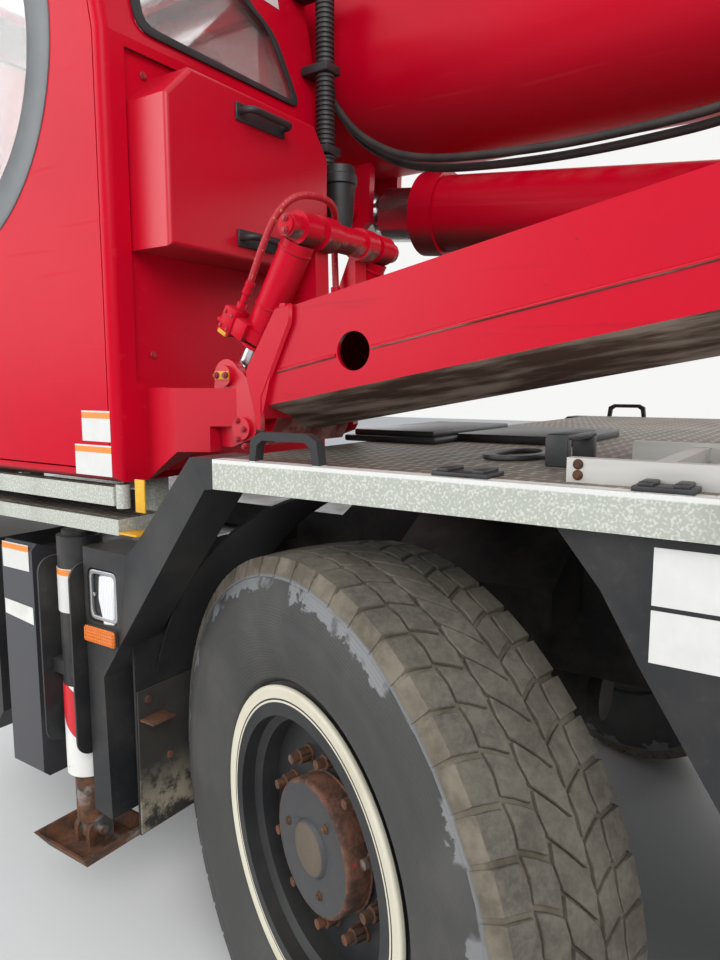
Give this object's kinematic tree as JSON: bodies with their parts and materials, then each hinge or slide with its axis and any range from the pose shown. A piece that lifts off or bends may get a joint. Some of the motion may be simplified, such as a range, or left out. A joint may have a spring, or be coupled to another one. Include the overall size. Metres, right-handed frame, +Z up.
{
  "type": "compact mobile crane",
  "caption": "Compact three-axle mobile crane with a telescopic boom, and a cab on a lifting arm beside it.",
  "frame": {"origin": "on the ground, under the middle of the length and the width", "axes": "+Z up, the front looks along -Y, the driver's left side is +X"},
  "size_m": [2.857, 8.7, 3.164],
  "materials": {
    "tyre_rubber": "dusty",
    "wheel_cream": "satin",
    "axle_black": "matte",
    "red_paint": "gloss",
    "deck_metal": "worn",
    "ram_chrome": "polished",
    "glass": "clear",
    "seat_fabric": "woven",
    "cab_plastic": "matte",
    "foot_steel": "rusty",
    "counterweight_grey": "satin",
    "black_paint": "satin"
  },
  "bodies": {
    "chassis": {"chassis_frame": "black_paint", "channel_covers": "black_paint", "axle_beams": "axle_black", "deck": "deck_metal", "front_fenders": "black_paint", "side_boxes": "black_paint", "engine_block": "black_paint", "front_bumper": "black_paint", "rear_bumper": "black_paint", "deck_ladder": "deck_metal"},
    "superstructure": {"turntable": "red_paint", "counterweight": "counterweight_grey"},
    "winch": {"winch_drum": "black_paint"},
    "boom_base": {"boom_base": "red_paint"},
    "boom_2": {"boom_section_2": "red_paint"},
    "boom_3": {"boom_section_3": "red_paint"},
    "boom_4": {"boom_section_4": "red_paint"},
    "boom_5": {"boom_section_5": "red_paint"},
    "hook": {"hook_block": "black_paint"},
    "luff_barrel": {"luff_ram_barrel": "black_paint"},
    "luff_rod": {"luff_ram_rod": "ram_chrome"},
    "cab_arm": {"cab_arm": "red_paint"},
    "tilt_barrels": {"tilt_ram_barrels": "black_paint"},
    "tilt_rods": {"tilt_ram_rods": "ram_chrome"},
    "cab": {"cab_shell": "red_paint", "cab_door": "red_paint", "cab_glass": "glass", "cab_seat": "seat_fabric", "cab_console": "cab_plastic", "cab_rear_fittings": "red_paint", "cab_step": "deck_metal"},
    "outrigger_front_left": {"outrigger_beam_front_left": "black_paint"},
    "jack_front_left": {"outrigger_jack_front_left": "foot_steel"},
    "outrigger_front_right": {"outrigger_beam_front_right": "black_paint"},
    "jack_front_right": {"outrigger_jack_front_right": "foot_steel"},
    "outrigger_rear_left": {"outrigger_beam_rear_left": "black_paint"},
    "jack_rear_left": {"outrigger_jack_rear_left": "foot_steel"},
    "outrigger_rear_right": {"outrigger_beam_rear_right": "black_paint"},
    "jack_rear_right": {"outrigger_jack_rear_right": "foot_steel"},
    "knuckle_1_left": {"knuckle_1_left": "axle_black"},
    "wheel_1_left": {"rim_1_left": "wheel_cream", "tyre_1_left": "tyre_rubber"},
    "knuckle_1_right": {"knuckle_1_right": "axle_black"},
    "wheel_1_right": {"rim_1_right": "wheel_cream", "tyre_1_right": "tyre_rubber"},
    "knuckle_2_left": {"knuckle_2_left": "axle_black"},
    "wheel_2_left": {"rim_2_left": "wheel_cream", "tyre_2_left": "tyre_rubber"},
    "knuckle_2_right": {"knuckle_2_right": "axle_black"},
    "wheel_2_right": {"rim_2_right": "wheel_cream", "tyre_2_right": "tyre_rubber"},
    "knuckle_3_left": {"knuckle_3_left": "axle_black"},
    "wheel_3_left": {"rim_3_left": "wheel_cream", "tyre_3_left": "tyre_rubber"},
    "knuckle_3_right": {"knuckle_3_right": "axle_black"},
    "wheel_3_right": {"rim_3_right": "wheel_cream", "tyre_3_right": "tyre_rubber"}
  },
  "joints": [
    {"name": "slew", "type": "hinge", "parent": "chassis", "child": "superstructure", "pos_m": [0, 1.9, 1.5], "axis": [0, 0, 1], "continuous": true},
    {"name": "boom_luff", "type": "hinge", "parent": "superstructure", "child": "boom_base", "pos_m": [0, 3.25, 2.7], "axis": [-1, 0, 0], "range_deg": [0, 80]},
    {"name": "luff_ram_turn", "type": "hinge", "parent": "superstructure", "child": "luff_barrel", "pos_m": [0, 1.25, 1.95], "axis": [-1, 0, 0], "range_deg": [0, 92.02]},
    {"name": "luff_ram_stroke", "type": "slide", "parent": "luff_barrel", "child": "luff_rod", "axis": [0, -0.9947, 0.1027], "range_m": [0, 2.6331]},
    {"name": "telescope_2", "type": "slide", "parent": "boom_base", "child": "boom_2", "axis": [0, -1, 0], "range_m": [0, 5.7]},
    {"name": "telescope_3", "type": "slide", "parent": "boom_2", "child": "boom_3", "axis": [0, -1, 0], "range_m": [0, 5.7]},
    {"name": "telescope_4", "type": "slide", "parent": "boom_3", "child": "boom_4", "axis": [0, -1, 0], "range_m": [0, 5.7]},
    {"name": "telescope_5", "type": "slide", "parent": "boom_4", "child": "boom_5", "axis": [0, -1, 0], "range_m": [0, 5.7]},
    {"name": "hook_level", "type": "hinge", "parent": "boom_5", "child": "hook", "pos_m": [0, -4.18, 2.33], "axis": [-1, 0, 0], "range_deg": [-80, 0]},
    {"name": "winch_turn", "type": "hinge", "parent": "superstructure", "child": "winch", "pos_m": [0, 3.32, 1.86], "axis": [1, 0, 0], "continuous": true},
    {"name": "cab_lift", "type": "hinge", "parent": "superstructure", "child": "cab_arm", "pos_m": [0.95, 2.2, 2.36], "axis": [-1, 0, 0], "range_deg": [0, 40]},
    {"name": "cab_level", "type": "hinge", "parent": "cab_arm", "child": "cab", "pos_m": [0.95, -1.435, 1.552], "axis": [-1, 0, 0], "range_deg": [-40, 0]},
    {"name": "tilt_ram_turn", "type": "hinge", "parent": "cab_arm", "child": "tilt_barrels", "pos_m": [0.95, -1.298, 1.984], "axis": [-1, 0, 0], "range_deg": [0, 3.67]},
    {"name": "tilt_ram_stroke", "type": "slide", "parent": "tilt_barrels", "child": "tilt_rods", "axis": [0, -0.5129, -0.8585], "range_m": [0, 0.0874]},
    {"name": "outrigger_out_front_left", "type": "slide", "parent": "chassis", "child": "outrigger_front_left", "axis": [1, 0, 0], "range_m": [0, 1.75]},
    {"name": "jack_down_front_left", "type": "slide", "parent": "outrigger_front_left", "child": "jack_front_left", "axis": [0, 0, -1], "range_m": [0, 0.55]},
    {"name": "outrigger_out_front_right", "type": "slide", "parent": "chassis", "child": "outrigger_front_right", "axis": [-1, 0, 0], "range_m": [0, 1.75]},
    {"name": "jack_down_front_right", "type": "slide", "parent": "outrigger_front_right", "child": "jack_front_right", "axis": [0, 0, -1], "range_m": [0, 0.55]},
    {"name": "outrigger_out_rear_left", "type": "slide", "parent": "chassis", "child": "outrigger_rear_left", "axis": [1, 0, 0], "range_m": [0, 1.75]},
    {"name": "jack_down_rear_left", "type": "slide", "parent": "outrigger_rear_left", "child": "jack_rear_left", "axis": [0, 0, -1], "range_m": [0, 0.55]},
    {"name": "outrigger_out_rear_right", "type": "slide", "parent": "chassis", "child": "outrigger_rear_right", "axis": [-1, 0, 0], "range_m": [0, 1.75]},
    {"name": "jack_down_rear_right", "type": "slide", "parent": "outrigger_rear_right", "child": "jack_rear_right", "axis": [0, 0, -1], "range_m": [0, 0.55]},
    {"name": "steer_1_left", "type": "hinge", "parent": "chassis", "child": "knuckle_1_left", "pos_m": [0.93, -1.1, 0.65], "axis": [0, 0, 1], "range_deg": [-13.6, 56.4]},
    {"name": "wheel_turn_1_left", "type": "hinge", "parent": "knuckle_1_left", "child": "wheel_1_left", "pos_m": [0.93, -1.1, 0.65], "axis": [0.9311, -0.3649, 0], "continuous": true},
    {"name": "steer_1_right", "type": "hinge", "parent": "chassis", "child": "knuckle_1_right", "pos_m": [-0.93, -1.1, 0.65], "axis": [0, 0, 1], "range_deg": [-13.6, 56.4]},
    {"name": "wheel_turn_1_right", "type": "hinge", "parent": "knuckle_1_right", "child": "wheel_1_right", "pos_m": [-0.93, -1.1, 0.65], "axis": [0.9311, -0.3649, 0], "continuous": true},
    {"name": "steer_2_left", "type": "hinge", "parent": "chassis", "child": "knuckle_2_left", "pos_m": [0.93, 1.1, 0.65], "axis": [0, 0, 1], "range_deg": [-6.2, 25.2]},
    {"name": "wheel_turn_2_left", "type": "hinge", "parent": "knuckle_2_left", "child": "wheel_2_left", "pos_m": [0.93, 1.1, 0.65], "axis": [0.9863, -0.165, 0], "continuous": true},
    {"name": "steer_2_right", "type": "hinge", "parent": "chassis", "child": "knuckle_2_right", "pos_m": [-0.93, 1.1, 0.65], "axis": [0, 0, 1], "range_deg": [-6.2, 25.2]},
    {"name": "wheel_turn_2_right", "type": "hinge", "parent": "knuckle_2_right", "child": "wheel_2_right", "pos_m": [-0.93, 1.1, 0.65], "axis": [0.9863, -0.165, 0], "continuous": true},
    {"name": "steer_3_left", "type": "hinge", "parent": "chassis", "child": "knuckle_3_left", "pos_m": [0.93, 2.7, 0.65], "axis": [0, 0, 1], "range_deg": [-20, 20]},
    {"name": "wheel_turn_3_left", "type": "hinge", "parent": "knuckle_3_left", "child": "wheel_3_left", "pos_m": [0.93, 2.7, 0.65], "axis": [1, 0, 0], "continuous": true},
    {"name": "steer_3_right", "type": "hinge", "parent": "chassis", "child": "knuckle_3_right", "pos_m": [-0.93, 2.7, 0.65], "axis": [0, 0, 1], "range_deg": [-20, 20]},
    {"name": "wheel_turn_3_right", "type": "hinge", "parent": "knuckle_3_right", "child": "wheel_3_right", "pos_m": [-0.93, 2.7, 0.65], "axis": [1, 0, 0], "continuous": true}
  ],
  "couplings": [
    {"joint": "luff_ram_turn", "follows": "boom_luff", "ratio": 1.1378},
    {"joint": "luff_ram_stroke", "follows": "boom_luff", "m_per_rad": 1.8787},
    {"joint": "telescope_3", "follows": "telescope_2", "ratio": 1},
    {"joint": "telescope_4", "follows": "telescope_2", "ratio": 1},
    {"joint": "telescope_5", "follows": "telescope_2", "ratio": 1},
    {"joint": "hook_level", "follows": "boom_luff", "ratio": -1},
    {"joint": "cab_level", "follows": "cab_lift", "ratio": -1},
    {"joint": "tilt_ram_turn", "follows": "cab_lift", "ratio": 0.07917},
    {"joint": "tilt_ram_stroke", "follows": "cab_lift", "m_per_rad": 0.12234},
    {"joint": "steer_1_right", "follows": "steer_1_left", "ratio": 1},
    {"joint": "steer_2_left", "follows": "steer_1_left", "ratio": 0.44393},
    {"joint": "steer_2_right", "follows": "steer_1_left", "ratio": 0.44393},
    {"joint": "steer_3_right", "follows": "steer_3_left", "ratio": 1}
  ]
}
